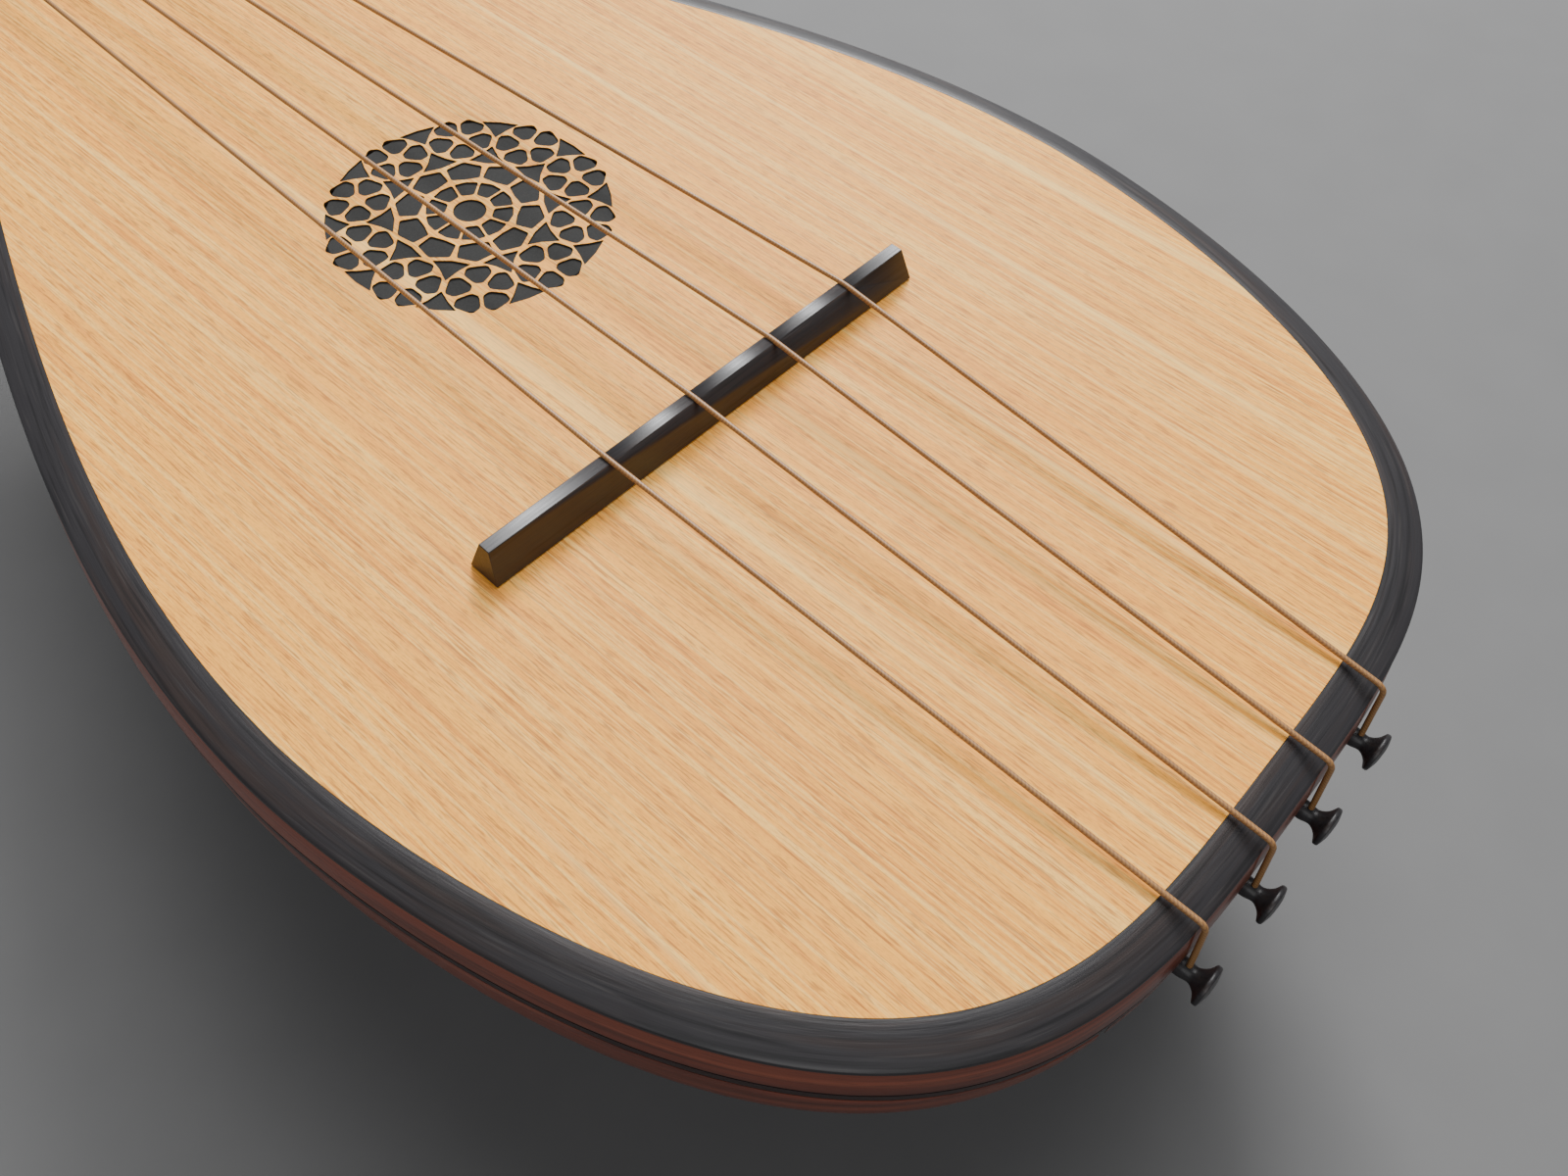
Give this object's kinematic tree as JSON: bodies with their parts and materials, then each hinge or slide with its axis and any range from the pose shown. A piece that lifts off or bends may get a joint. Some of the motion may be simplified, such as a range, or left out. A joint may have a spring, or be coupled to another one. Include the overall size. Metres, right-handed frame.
{
  "type": "oud",
  "caption": "Bowl-backed short-necked lute with a pear-shaped face, pierced round rose, loose bar bridge, tail hitch pins and a bent-back pegbox with side pegs.",
  "frame": {"origin": "centre of the bounding box at its lowest level, on the flat of the back", "axes": "+Y from the tail to the neck and pegbox, +X to the treble side seen from the front, +Z out of the face"},
  "size_m": [0.3412, 0.8722, 0.1761],
  "materials": {
    "spruce": "pale straight-grained tonewood, thin satin finish",
    "ebony": "near-black fine-grained hardwood, oiled and buffed satin",
    "rosewood": "dark red-brown hardwood with darker bands, clear satin lacquer",
    "dark_line": "thin dark inlaid line, clear satin lacquer",
    "maple": "bare inside wood, unfinished",
    "backing_cloth": "dark grey close-woven backing cloth, matt",
    "gut": "amber-brown twisted gut, dull polish",
    "bone": "polished cream bone, soft sheen"
  },
  "bodies": {
    "body": {"soundboard": "spruce", "rose_backing": "backing_cloth", "rim_binding": "ebony", "side_rib": "rosewood", "side_line": "dark_line", "soundboard_lining": "maple", "rib_1": "rosewood", "rib_2": "rosewood", "rib_3": "rosewood", "rib_4": "rosewood", "rib_5": "rosewood", "rib_6": "rosewood", "rib_7": "rosewood", "rib_8": "rosewood", "rib_9": "rosewood", "rib_10": "rosewood", "rib_11": "rosewood", "rib_line_1": "dark_line", "rib_line_2": "dark_line", "rib_line_3": "dark_line", "rib_line_4": "dark_line", "rib_line_5": "dark_line", "rib_line_6": "dark_line", "rib_line_7": "dark_line", "rib_line_8": "dark_line", "rib_line_9": "dark_line", "rib_line_10": "dark_line", "tail_cap": "rosewood", "neck_block": "maple", "tail_block": "maple", "brace_1": "spruce", "brace_2": "spruce", "brace_3": "spruce", "brace_4": "spruce", "brace_5": "spruce", "neck": "rosewood", "fingerboard": "ebony", "nut": "bone", "pegbox_cheek_bass": "rosewood", "pegbox_cheek_treble": "rosewood", "pegbox_floor": "rosewood", "pegbox_finial": "ebony", "pegbox_root": "rosewood", "bridge": "ebony", "string_1": "gut", "string_2": "gut", "string_3": "gut", "string_4": "gut", "hitch_pin_1": "ebony", "hitch_pin_2": "ebony", "hitch_pin_3": "ebony", "hitch_pin_4": "ebony"},
    "peg_1": {"peg_1": "ebony", "string_winding_1": "gut"},
    "peg_2": {"peg_2": "ebony", "string_winding_4": "gut"},
    "peg_3": {"peg_3": "ebony", "string_winding_2": "gut"},
    "peg_4": {"peg_4": "ebony", "string_winding_3": "gut"}
  },
  "joints": [
    {"name": "peg_1_turn", "type": "hinge", "parent": "body", "child": "peg_1", "pos_m": [0, 0.3506, 0.13287], "axis": [1, 0, 0], "continuous": true},
    {"name": "peg_2_turn", "type": "hinge", "parent": "body", "child": "peg_2", "pos_m": [0, 0.37051, 0.11615], "axis": [1, 0, 0], "continuous": true},
    {"name": "peg_3_turn", "type": "hinge", "parent": "body", "child": "peg_3", "pos_m": [0, 0.39043, 0.09944], "axis": [1, 0, 0], "continuous": true},
    {"name": "peg_4_turn", "type": "hinge", "parent": "body", "child": "peg_4", "pos_m": [0, 0.41035, 0.08273], "axis": [1, 0, 0], "continuous": true}
  ]
}
